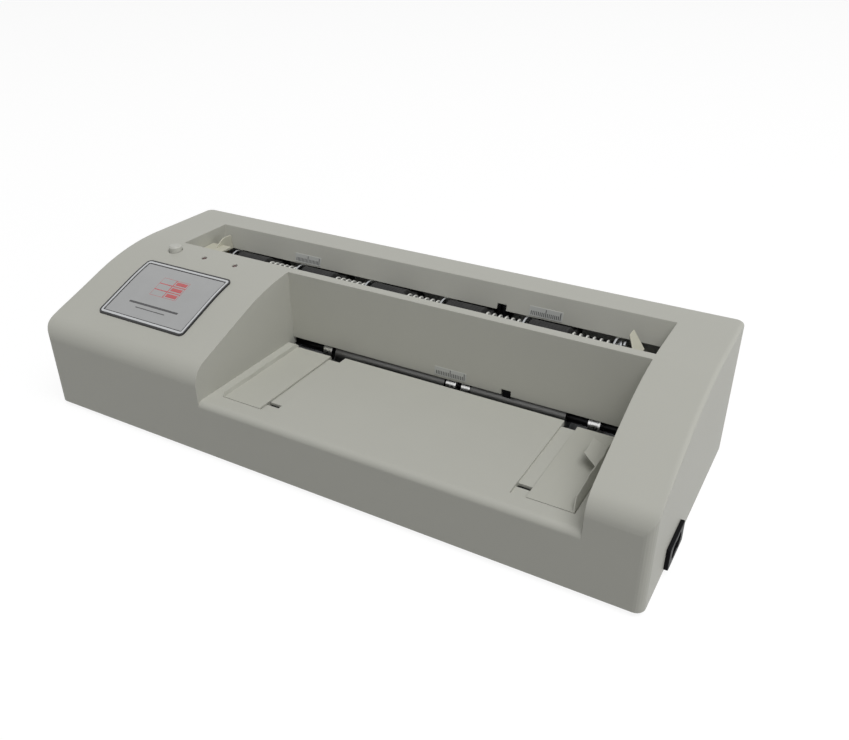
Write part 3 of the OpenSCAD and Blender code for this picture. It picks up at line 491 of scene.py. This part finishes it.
@dataclass
class Bench:
    """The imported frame, and what turns meshes into finished pieces on it."""

    frame: dict
    materials: dict[Finish, bpy.types.Material] = field(default_factory=dict)

    def material(self, finish: Finish) -> bpy.types.Material:
        """The finish's material, built once."""
        if finish not in self.materials:
            self.materials[finish] = finish.value.material(finish.name.lower())
        return self.materials[finish]

    def body_of(self, node: str) -> str:
        """The body that holds a node."""
        bodies = self.frame["record"]["behaviour"]["bodies"]
        return next(body for body, nodes in bodies.items() if node in nodes)

    def slot_of(self, node: str) -> str:
        """The record's material slot of a node."""
        return next(s["material_slot"] for s in self.frame["record"]["subparts"] if s["node"] == node)

    def axis(self, joint: str) -> Vector:
        """A point on a joint's axis."""
        return Vector(next(j["pos_m"] for j in self.frame["joints"] if j["name"] == joint))

    def merged(self, node: str) -> BMesh:
        """A joined copy of a node's mesh, with its flat faces made whole."""
        bm = bmesh.new()
        bm.from_mesh(self.frame["nodes"][node].data)
        bmesh.ops.remove_doubles(bm, verts=bm.verts[:], dist=0.001 * MM)
        bmesh.ops.dissolve_limit(bm, angle_limit=math.radians(0.4), verts=bm.verts[:], edges=bm.edges[:])
        return bm

    def islands(self, node: str) -> list[list[BMVert]]:
        """The separate solids of a node, each as its vertices, from left to right."""
        bm = self.merged(node)
        rest = set(bm.verts)
        found = []
        while rest:
            front = [rest.pop()]
            island = list(front)
            while front:
                near = {e.other_vert(v) for v in front for e in v.link_edges} & rest
                rest -= near
                island += near
                front = list(near)
            found.append([v.co.copy() for v in island])
        bm.free()
        return sorted(found, key=lambda points: min(p.x for p in points))

    def piece(
        self,
        name: str,
        bm: BMesh,
        finish: Finish,
        node: str,
        replaces: Sequence[str] = (),
        crease: float = 38.0,
    ) -> bpy.types.Object:
        """Makes a mesh a finished piece that rides with a node's body.

        Args:
            name: The piece's name.
            bm: Its mesh, in place; it is freed.
            finish: Its finish.
            node: The node whose body it takes; its slot is only looked up.
            replaces: The nodes that it stands for.
            crease: The turn from which an edge stays sharp, in degrees.

        Returns:
            The piece.
        """
        for face in bm.faces:
            face.smooth = True
        for edge in bm.edges:
            edge.smooth = edge.calc_face_angle(0) < math.radians(crease)
        mesh = bpy.data.meshes.new(name)
        bm.to_mesh(mesh)
        bm.free()
        mesh.materials.append(self.material(finish))
        made = bpy.data.objects.new(name, mesh)
        bpy.context.scene.collection.objects.link(made)
        weighted = made.modifiers.new("flat_faces", "WEIGHTED_NORMAL")
        weighted.keep_sharp = True
        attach(made, self.body_of(node))
        self.slot_of(node)
        if replaces:
            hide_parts(*replaces)
        LOG.info("%s: %d faces, rides on %s", name, len(mesh.polygons), self.body_of(node))
        return made

    def evaluated(self, made: bpy.types.Object) -> BMesh:
        """Takes the finished mesh of a helper object, joined, and removes the helper."""
        bpy.context.scene.collection.objects.link(made)
        bpy.context.view_layer.update()
        mesh = bpy.data.meshes.new_from_object(made.evaluated_get(bpy.context.evaluated_depsgraph_get()))
        bm = bmesh.new()
        bm.from_mesh(mesh)
        bmesh.ops.remove_doubles(bm, verts=bm.verts[:], dist=0.001 * MM)
        bpy.data.objects.remove(made)
        bpy.data.meshes.remove(mesh)
        return bm

    def refined(self, node: str, finish: Finish, edge: Round = Round.SMALL) -> bpy.types.Object:
        """Replaces a node by a copy of itself with broken edges and a finish."""
        bm = self.merged(node)
        round_off(bm, sharp_edges(bm, 50), edge.value)
        return self.piece(f"{node}_finished", bm, finish, node, [node])


# ---------------------------------------------------------------- casing


@dataclass
class Casing:
    """The moulded top cover, with the radii of its edges and the form of its roof."""

    bench: Bench
    roof_radius: float = 152 * MM
    roof_start: float = 23.3 * MM
    slope: float = math.radians(21.3)
    side_round: float = 2.2 * MM
    plan_corner: float = 5.0 * MM
    nose_radius: float = 12 * MM
    fade: float = 38 * MM
    rim_facets: int = 4
    corner_pitch: float = 0.8 * MM
    fade_pitch: float = 4 * MM
    mouth_round: Round = Round.PLAIN

    def __post_init__(self) -> None:
        """Takes the casing's box from the frame."""
        self.low, self.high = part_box("top_cover")

    def roof(self, y: float) -> float:
        """The height of the roof at a place along Y."""
        run = self.roof_start - y
        bend = self.roof_radius * math.sin(self.slope)
        if run <= 0:
            return self.high.z
        if run < bend:
            return self.high.z - self.roof_radius + math.sqrt(self.roof_radius**2 - run**2)
        drop = self.roof_radius * (1 - math.cos(self.slope))
        return self.high.z - drop - (run - bend) * math.tan(self.slope)

    def inset(self, point: Vector) -> float:
        """The distance of a point from the outer wall, which has round corners in plan."""
        x, y = self.high.x - abs(point.x), self.high.y - point.y
        if max(x, y) < self.plan_corner:
            return self.plan_corner - math.hypot(self.plan_corner - x, self.plan_corner - y)
        return min(x, y)

    def fall(self, point: Vector) -> float:
        """How far the rounding lies below the roof at a point; it fades out towards the nose."""
        run = min(self.side_round, max(0.0, self.side_round - self.inset(point)))
        full = self.side_round - math.sqrt(self.side_round**2 - run**2)
        return full * max(0.0, min(1.0, (point.y - self.low.y - self.nose_radius) / self.fade))

    def lower_rim(self, bm: BMesh) -> None:
        """Lowers the roof and its finely rounded rim towards the outer wall along a quarter circle."""
        turns = [math.pi / 2 * facet / self.rim_facets for facet in range(1, self.rim_facets + 1)]
        places = [self.side_round * (1 - math.cos(turn)) for turn in turns]
        places += [*steps(self.side_round, self.plan_corner, self.corner_pitch), self.plan_corner]
        nose = self.low.y + self.nose_radius
        cut_along(bm, Vector((1, 0, 0)), [side * (self.high.x - p) for p in places for side in (-1, 1)])
        cut_along(bm, Vector((0, 1, 0)), [self.high.y - p for p in places])
        cut_along(bm, Vector((0, 1, 0)), steps(nose, nose + self.fade, self.fade_pitch))
        reach = 1.2 * self.mouth_round.value
        for vert in bm.verts:
            roof = self.roof(vert.co.y)
            if vert.co.z > roof - reach:
                vert.co.z = min(vert.co.z, roof - self.fall(vert.co))

    def build(self) -> None:
        """Rounds all edges finely and the roof's outer rim widely."""
        bm = self.bench.merged("top_cover")
        round_off(bm, sharp_edges(bm, 40), self.mouth_round.value)
        self.lower_rim(bm)
        self.bench.piece("casing_shell", bm, Finish.CASING, "top_cover", ["top_cover"], 33)


@dataclass
class Badge:
    """The badge on the left housing: a black edge, a silver band, a dark line and a printed face."""

    bench: Bench
    casing: Casing
    corner: float = 3.2 * MM
    border: float = 1.1 * MM
    band: float = 1.5 * MM
    line: float = 0.6 * MM
    height: float = 1.1 * MM
    face_height: float = 0.7 * MM
    sign_length: float = 22 * MM
    sign_depth: float = 15 * MM
    sign_lift: float = 5 * MM
    ink: float = 0.04 * MM

    def __post_init__(self) -> None:
        """Takes the badge's plan from the frame."""
        low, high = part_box("badge_frame")
        self.middle = (low + high) / 2
        self.length = high.x - low.x
        self.depth = high.y - low.y

    def panel(self, bm: BMesh, inset: float) -> BMFace:
        """Adds the badge's outline as one flat face, drawn in by an inset, about the origin."""
        verts = bmesh.ops.create_grid(bm, x_segments=1, y_segments=1, size=0.5)["verts"]
        size = Vector((self.length - 2 * inset, self.depth - 2 * inset, 1))
        bmesh.ops.scale(bm, vec=size, verts=verts)
        radius = max(self.corner - inset, 0.8 * MM)
        bmesh.ops.bevel(
            bm, geom=verts, offset=radius, segments=6, profile=0.5, affect="VERTICES", material=-1
        )
        return max(bm.faces, key=BMFace.calc_area)

    def lay(self, bm: BMesh, name: str, finish: Finish, replaces: Sequence[str] = ()) -> None:
        """Bends a flat piece over the casing's roof and finishes it.

        Args:
            bm: The piece about the origin, with its heights over the roof.
            name: Its name.
            finish: Its finish.
            replaces: The nodes that it stands for.
        """
        half = self.depth / 2
        cut_along(bm, Vector((0, 1, 0)), steps(-half, half, 2.4 * MM))
        for vert in bm.verts:
            place = vert.co + self.middle
            vert.co = Vector((place.x, place.y, self.casing.roof(place.y) + vert.co.z))
        bmesh.ops.recalc_face_normals(bm, faces=bm.faces[:])
        self.bench.piece(name, bm, finish, "badge_frame", replaces)

    def ring(self, inset: float, width: float, low: float, high: float) -> BMesh:
        """A rounded frame of some width, from one height to another."""
        bm = bmesh.new()
        inner = self.panel(bm, inset)
        rim = bmesh.ops.inset_region(
            bm, faces=[inner], thickness=width, use_even_offset=True, use_boundary=True
        )["faces"]
        bmesh.ops.delete(bm, geom=[f for f in bm.faces if f not in rim], context="FACES")
        self.raise_up(bm, low, high)
        return bm

    @staticmethod
    def raise_up(bm: BMesh, low: float, high: float) -> None:
        """Gives flat faces a thickness from one height to another, with a rounded upper edge."""
        grown = bmesh.ops.extrude_face_region(bm, geom=bm.faces[:])["geom"]
        upper = [v for v in grown if isinstance(v, BMVert)]
        bmesh.ops.translate(bm, vec=UP * (high - low), verts=upper)
        bmesh.ops.translate(bm, vec=UP * low, verts=bm.verts[:])
        bmesh.ops.recalc_face_normals(bm, faces=bm.faces[:])
        top = [e for e in sharp_edges(bm, 60) if min(v.co.z for v in e.verts) > high - 0.001 * MM]
        round_off(bm, top, 0.22 * MM)

    def emblem(self) -> BMesh:
        """A plain sign: a sheet that is marked off into cards, half of them filled in."""
        bm = bmesh.new()
        cells = bmesh.ops.create_grid(bm, x_segments=2, y_segments=3, size=0.5)["verts"]
        bmesh.ops.scale(bm, vec=Vector((self.sign_length, self.sign_depth, 1)), verts=cells)
        bmesh.ops.translate(bm, vec=Vector((0, self.sign_lift, 0)), verts=cells)
        line, gap = 0.50 * MM, 0.55 * MM
        cards = bm.faces[:]
        bmesh.ops.inset_individual(bm, faces=cards, thickness=line, use_even_offset=True)
        filled = [card for card in cards if card.calc_center_median().x > 0]
        gaps = bmesh.ops.inset_individual(bm, faces=filled, thickness=gap, use_even_offset=True)["faces"]
        bare = [card for card in cards if card not in filled]
        bmesh.ops.delete(bm, geom=gaps + bare, context="FACES")
        self.raise_up(bm, self.face_height - 0.05 * MM, self.face_height + self.ink)
        return bm

    def rule(self) -> BMesh:
        """Two printed lines across the lower part of the face."""
        bm = bmesh.new()
        low, high = self.face_height - 0.05 * MM, self.face_height + self.ink
        block(bm, (-20 * MM, -11.2 * MM, low), (20 * MM, -9.8 * MM, high))
        block(bm, (-12 * MM, -14.0 * MM, low), (12 * MM, -13.4 * MM, high))
        return bm

    def build(self) -> None:
        """Lays the rings, the face and its sign on the casing."""
        edge = self.ring(0, self.border, 0, self.height)
        self.lay(edge, "badge_edge", Finish.BADGE_BLACK, ["badge_frame"])
        inset = self.border
        self.lay(self.ring(inset, self.band, 0, self.height * 0.92), "badge_band", Finish.BADGE_SILVER)
        inset += self.band
        self.lay(self.ring(inset, self.line, 0, self.height * 0.8), "badge_line", Finish.BADGE_BLACK)
        face = bmesh.new()
        self.panel(face, inset + self.line)
        self.raise_up(face, 0, self.face_height)
        self.lay(face, "badge_face", Finish.BADGE_FACE, ["badge_plate"])
        self.lay(self.emblem(), "badge_sign", Finish.BADGE_RED)
        self.lay(self.rule(), "badge_rule", Finish.BADGE_INK)


@dataclass
class ScalePlates:
    """The three printed scales, with a tick for each millimetre about a tall middle one."""

    bench: Bench
    reach: int = 8
    tick: float = 0.50 * MM
    short: float = 2.4 * MM
    tall: float = 4.4 * MM
    relief: float = 0.04 * MM

    def ticks(self, node: str) -> BMesh:
        """The printed ticks of one plate, on its own front face."""
        low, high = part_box(node)
        cloud = self.bench.islands(node)[0]
        front = min(cloud, key=lambda p: (round(p.z, 6), p.y))
        upper = min((p for p in cloud if p.z > high.z - 0.01 * MM), key=lambda p: p.y)
        rise = Vector((0, upper.y - front.y, upper.z - front.z))
        along = Vector((1, 0, 0))
        out = along.cross(rise.normalized())
        base = Vector(((low.x + high.x) / 2, front.y, front.z)) + rise.normalized() * 0.8 * MM
        turn = Matrix((along, rise.normalized(), -out)).transposed().to_4x4()
        bm = bmesh.new()
        for i in range(-self.reach, self.reach + 1):
            height = self.tall if i in (0, self.reach) else self.short
            x = i * 1.15 * MM
            block(bm, (x - self.tick / 2, 0, -self.relief), (x + self.tick / 2, height, self.relief))
        bmesh.ops.transform(bm, matrix=Matrix.Translation(base) @ turn, verts=bm.verts[:])
        bmesh.ops.recalc_face_normals(bm, faces=bm.faces[:])
        return bm

    def build(self) -> None:
        """Dresses the plates and prints their ticks."""
        for node in ("front_scale", "rear_scale_left", "rear_scale_right"):
            self.bench.refined(node, Finish.FILM, Round.FINE)
            self.bench.piece(f"{node}_ticks", self.ticks(node), Finish.TICK, node)


# ---------------------------------------------------------------- guides


@dataclass
class FrontGuides:
    """The two thin moulded guides on the deck, whose raised edges are a little wavy."""

    bench: Bench
    wave: float = 0.25 * MM
    rise: float = 2.0 * MM
    pitch: float = 3.0 * MM
    below_scale: float = 3.2 * MM

    def warp(self, bm: BMesh, deck: float, side: float) -> None:
        """Bends the raised edge in and out along its length.

        Args:
            bm: The guide's mesh.
            deck: The height from which it bends.
            side: 1 for the right guide and -1 for the left one.
        """
        for vert in bm.verts:
            share = max(0.0, min(1.0, (vert.co.z - deck) / self.rise))
            y = vert.co.y / MM
            swing = math.sin(y * 0.21 + 0.8) + 0.6 * math.sin(y * 0.53 + 2.1)
            vert.co.x += side * self.wave * share * swing
            vert.co.z += 0.35 * self.wave * share * math.sin(y * 0.37 + 1.1)

    def build(self) -> None:
        """Dresses both guides."""
        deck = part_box("front_scale")[0].z - self.below_scale
        for node, side in (("front_guide_left", -1.0), ("front_guide_right", 1.0)):
            low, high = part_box(node)
            bm = self.bench.merged(node)
            round_off(bm, sharp_edges(bm, 50), Round.SMALL.value)
            bmesh.ops.connect_verts_concave(bm, faces=bm.faces[:])
            cut_along(bm, Vector((0, 1, 0)), steps(low.y, high.y, self.pitch))
            self.warp(bm, deck, side)
            self.bench.piece(f"{node}_finished", bm, Finish.GUIDE, node, [node])


# ---------------------------------------------------------------- cutting units


@dataclass
class GroovedRollers:
    """Rubber rollers with fine grooves round them, spun on their shaft's axis."""

    bench: Bench
    groove_pitch: float = 2.0 * MM
    groove_depth: float = 0.35 * MM
    lip: float = 0.5 * MM
    facets: int = 48

    def profile(self, x0: float, x1: float, bore: float, radius: float) -> list[tuple[float, float]]:
        """The outline of a roller's upper half, as places along X and radii."""
        outline = [(x0, bore), (x0, radius - self.lip), (x0 + self.lip, radius)]
        quarter = self.groove_pitch / 5
        if x1 - x0 > 3 * self.groove_pitch:
            for x in steps(x0, x1, self.groove_pitch):
                outline += [(x - quarter, radius), (x, radius - self.groove_depth), (x + quarter, radius)]
        return outline + [(x1 - self.lip, radius), (x1, radius - self.lip), (x1, bore)]

    def turn(self, bm: BMesh, axis: Vector, outline: Sequence[tuple[float, float]]) -> None:
        """Spins a closed outline round the axis."""
        verts = [bm.verts.new((x, axis.y, axis.z + r)) for x, r in outline]
        edges = [bm.edges.new((a, b)) for a, b in zip(verts, verts[1:] + verts[:1])]
        bmesh.ops.spin(
            bm,
            geom=verts + edges,
            cent=(0, axis.y, axis.z),
            axis=(1, 0, 0),
            angle=math.tau,
            steps=self.facets,
            use_merge=True,
        )

    def build(self, node: str, joint: str) -> None:
        """Replaces a node of rollers by grooved ones of the same size."""
        axis = self.bench.axis(joint)
        bm = bmesh.new()
        for points in self.bench.islands(node):
            radii = [math.hypot(p.y - axis.y, p.z - axis.z) for p in points]
            ends = min(p.x for p in points), max(p.x for p in points)
            self.turn(bm, axis, self.profile(*ends, min(radii), max(radii)))
        bmesh.ops.remove_doubles(bm, verts=bm.verts[:], dist=0.001 * MM)
        bmesh.ops.recalc_face_normals(bm, faces=bm.faces[:])
        self.bench.piece(f"{node}_grooved", bm, Finish.RUBBER, node, [node], 50)


@dataclass
class BladeSprings:
    """The springs that press the round blades together, one open helix each, in a pale tone that paints
    their bright reflection.
    """

    bench: Bench
    curls: int = 6
    wire: float = 1.3 * MM
    steps_a_curl: int = 24

    def helix(self, start: float, end: float, axis: Vector, radius: float) -> list[Vector]:
        """The wire's middle line from one end to the other."""
        lead = self.wire
        count = self.curls * self.steps_a_curl
        run = end - start - 2 * lead

        def at(x: float, turn: float) -> Vector:
            """The place on the coil at a position along its axis and a turn about it."""
            return Vector((x, axis.y + radius * math.cos(turn), axis.z + radius * math.sin(turn)))

        wound = [
            at(start + lead + run * i / count, math.tau * i / self.steps_a_curl) for i in range(count + 1)
        ]
        return [at(start, 0), *wound, at(end, 0)]

    def build(self) -> None:
        """Winds the springs as curves and makes them one mesh."""
        axis = self.bench.axis("rear_upper_spin")
        curve = bpy.data.curves.new("spring_wire", "CURVE")
        curve.dimensions = "3D"
        curve.bevel_depth = self.wire / 2
        curve.bevel_resolution = 2
        curve.use_fill_caps = True
        for points in self.bench.islands("blade_springs"):
            radius = max(math.hypot(p.y - axis.y, p.z - axis.z) for p in points) - self.wire / 2
            ends = min(p.x for p in points), max(p.x for p in points)
            path = self.helix(*ends, axis, radius)
            spline = curve.splines.new("POLY")
            spline.points.add(len(path) - 1)
            for point, place in zip(spline.points, path):
                point.co = (*place, 1)
        bm = self.bench.evaluated(bpy.data.objects.new("spring_wire", curve))
        bmesh.ops.recalc_face_normals(bm, faces=bm.faces[:])
        # The springs' pale tone paints their bright reflection of the white surroundings.
        self.bench.piece("blade_springs_wound", bm, Finish.SPRING, "blade_springs", ["blade_springs"], 60)


@dataclass
class Works:
    """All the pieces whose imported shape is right, which get broken edges and their finish."""

    bench: Bench

    def build(self) -> None:
        """Dresses the pieces group by group."""
        groups: list[tuple[Finish, Round, str]] = [
            (Finish.SHEET, Round.SMALL, "base_plate left_side_plate right_side_plate"),
            (Finish.SHEET, Round.SMALL, "exit_ramp strip_deflector"),
            (Finish.RUBBER, Round.SMALL, "rubber_feet front_upper_rollers"),
            (Finish.STEEL, Round.SMALL, "tie_bars rear_guide_rail motor_shaft idler_studs rear_upper_shaft"),
            (Finish.STEEL, Round.SMALL, "rear_lower_shaft"),
            # The front shafts take the near-black tone that paints the shade inside the front slot.
            (Finish.SHAFT, Round.SMALL, "front_upper_shaft front_lower_shaft"),
            (Finish.STEEL, Round.FINE, "cover_screws frame_screws motor_screws"),
            (Finish.BLADE, Round.FINE, "rear_upper_blades rear_lower_blades front_upper_blades"),
            # The front lower hubs take the lifted tone that paints their glints.
            (Finish.HUB, Round.FINE, "front_lower_blades"),
            (Finish.SLEEVE, Round.SMALL, "front_feed_sleeves"),
            (Finish.BRONZE, Round.SMALL, "shaft_bushes"),
            (Finish.BRONZE, Round.FINE, "motor_pinion"),
            (Finish.NYLON, Round.FINE, "drive_idler front_lower_gear front_upper_gear transfer_idler"),
            (Finish.NYLON, Round.FINE, "rear_drive_gear rear_lower_pair_gear rear_upper_pair_gear"),
            (Finish.NYLON, Round.FINE, "board_standoffs"),
            (Finish.CAN, Round.PLAIN, "motor"),
            (Finish.BOARD, Round.FINE, "circuit_board switch_board"),
            (Finish.COMPONENT, Round.PLAIN, "board_components start_switch"),
            (Finish.BLACK, Round.FINE, "front_paper_flag rear_paper_flag"),
            (Finish.BLACK, Round.FINE, "front_flag_bracket rear_flag_bracket"),
            (Finish.BLACK, Round.PLAIN, "power_inlet"),
            (Finish.PIN, Round.SMALL, "inlet_pins"),
            (Finish.CREAM, Round.SMALL, "rear_guide_left rear_guide_right"),
            (Finish.BUTTON, Round.SMALL, "start_button"),
            (Finish.LAMP, Round.FINE, "indicator_lamps"),
        ]
        for finish, edge, names in groups:
            for node in names.split():
                self.bench.refined(node, finish, edge)


# ---------------------------------------------------------------- studio


@dataclass
class Studio:
    """The pale floor, the plain soft light and the camera at the photograph's angle."""

    place: Vector = field(default_factory=lambda: Vector((245.858, -370.297, 291.838)) * MM)
    azimuth: float = math.radians(29.677)
    elevation: float = math.radians(29.638)
    roll: float = math.radians(-0.233)
    lens: float = 35.714
    floor_radius: float = 6.0
    daylight: float = 0.25

    def camera(self) -> None:
        """Stands the camera where the photograph was taken from."""
        a, e = self.azimuth, self.elevation
        ahead = Vector((-math.sin(a) * math.cos(e), math.cos(a) * math.cos(e), -math.sin(e)))
        right = ahead.cross(UP).normalized()
        top = right.cross(ahead)
        turned = math.cos(self.roll) * right + math.sin(self.roll) * top
        upper = math.cos(self.roll) * top - math.sin(self.roll) * right
        data = bpy.data.cameras.new("camera")
        data.lens = self.lens
        data.sensor_width = 36
        data.sensor_fit = "HORIZONTAL"
        data.clip_start = 0.01
        camera = bpy.data.objects.new("camera", data)
        turn = Matrix((turned, upper, -ahead)).transposed().to_4x4()
        camera.matrix_world = Matrix.Translation(self.place) @ turn
        bpy.context.scene.collection.objects.link(camera)
        bpy.context.scene.camera = camera

    def panel_light(
        self, name: str, place: Sequence[float], aim: Sequence[float], size: Sequence[float], power: float
    ) -> None:
        """Hangs a soft rectangular lamp that looks at a point.

        Args:
            name: The lamp's name.
            place: Where it hangs.
            aim: The point it looks at.
            size: Its length and width.
            power: Its power, in watts.
        """
        data = bpy.data.lights.new(name, "AREA")
        data.shape = "RECTANGLE"
        data.size, data.size_y = size
        data.energy = power
        lamp = bpy.data.objects.new(name, data)
        way = Vector(aim) - Vector(place)
        lamp.rotation_euler = way.to_track_quat("-Z", "Y").to_euler()
        lamp.location = place
        bpy.context.scene.collection.objects.link(lamp)

    def lights(self) -> None:
        """Hangs the overhead panel and the low panel at the right."""
        self.panel_light("overhead", (1.50, -1.00, 3.50), (0, 0, 0), (3.0, 2.4), 100)
        self.panel_light("right_side", (1.6, 0.20, 0.20), (0, 0, 0.04), (1.2, 0.3), 3)

    def surroundings(self) -> None:
        """Sets the world: white to the camera and in reflections, dimmer as a light."""
        world = bpy.data.worlds.new("surroundings")
        world.use_nodes = True
        nodes = Nodes(world.node_tree)
        shade = nodes.tree.nodes["Background"]
        nodes.feed(shade.inputs["Color"], (1, 1, 1, 1))
        nodes.feed(shade.inputs["Strength"], nodes.seen() * (1 - self.daylight) + self.daylight)
        bpy.context.scene.world = world

    def floor(self) -> None:
        """Lays a round white floor that keeps a faint shadow."""
        bm = bmesh.new()
        bmesh.ops.create_circle(bm, cap_ends=True, radius=self.floor_radius, segments=96)
        mesh = bpy.data.meshes.new("floor")
        bm.to_mesh(mesh)
        bm.free()
        floor = bpy.data.objects.new("floor", mesh)
        bpy.context.scene.collection.objects.link(floor)
        mesh.materials.append(self.floor_material())

    @staticmethod
    def floor_material() -> bpy.types.Material:
        """A pale floor, lifted towards white where it is seen."""
        g = Graph("floor")
        seen = g.seen()
        g.dress(Base_Color=g.mix(seen, (0.28,) * 3 + (1,), (0.95,) * 3 + (1,)), Roughness=0.9)
        glow = g.node("ShaderNodeEmission", sockets={"Strength": 1.08})
        plain_shade = Signal(g, g.shader.outputs[0])
        blend = g.node("ShaderNodeMixShader", sockets={0: seen * 0.80, 1: plain_shade, 2: glow})
        g.feed(g.tree.nodes["Material Output"].inputs["Surface"], blend)
        return g.material

    def build(self) -> None:
        """Sets the whole stage."""
        self.camera()
        self.lights()
        self.surroundings()
        self.floor()
        bpy.context.scene.view_settings.view_transform = "Standard"


def main() -> None:
    """Builds the scene in order."""
    logging.basicConfig(level=logging.INFO, format="%(message)s")
    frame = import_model()
    Studio().build()
    bench = Bench(frame)
    casing = Casing(bench)
    casing.build()
    Badge(bench, casing).build()
    ScalePlates(bench).build()
    FrontGuides(bench).build()
    rollers = GroovedRollers(bench)
    rollers.build("rear_upper_rollers", "rear_upper_spin")
    rollers.build("rear_lower_rollers", "rear_lower_spin")
    BladeSprings(bench).build()
    Works(bench).build()


if __name__ == "__main__":
    main()
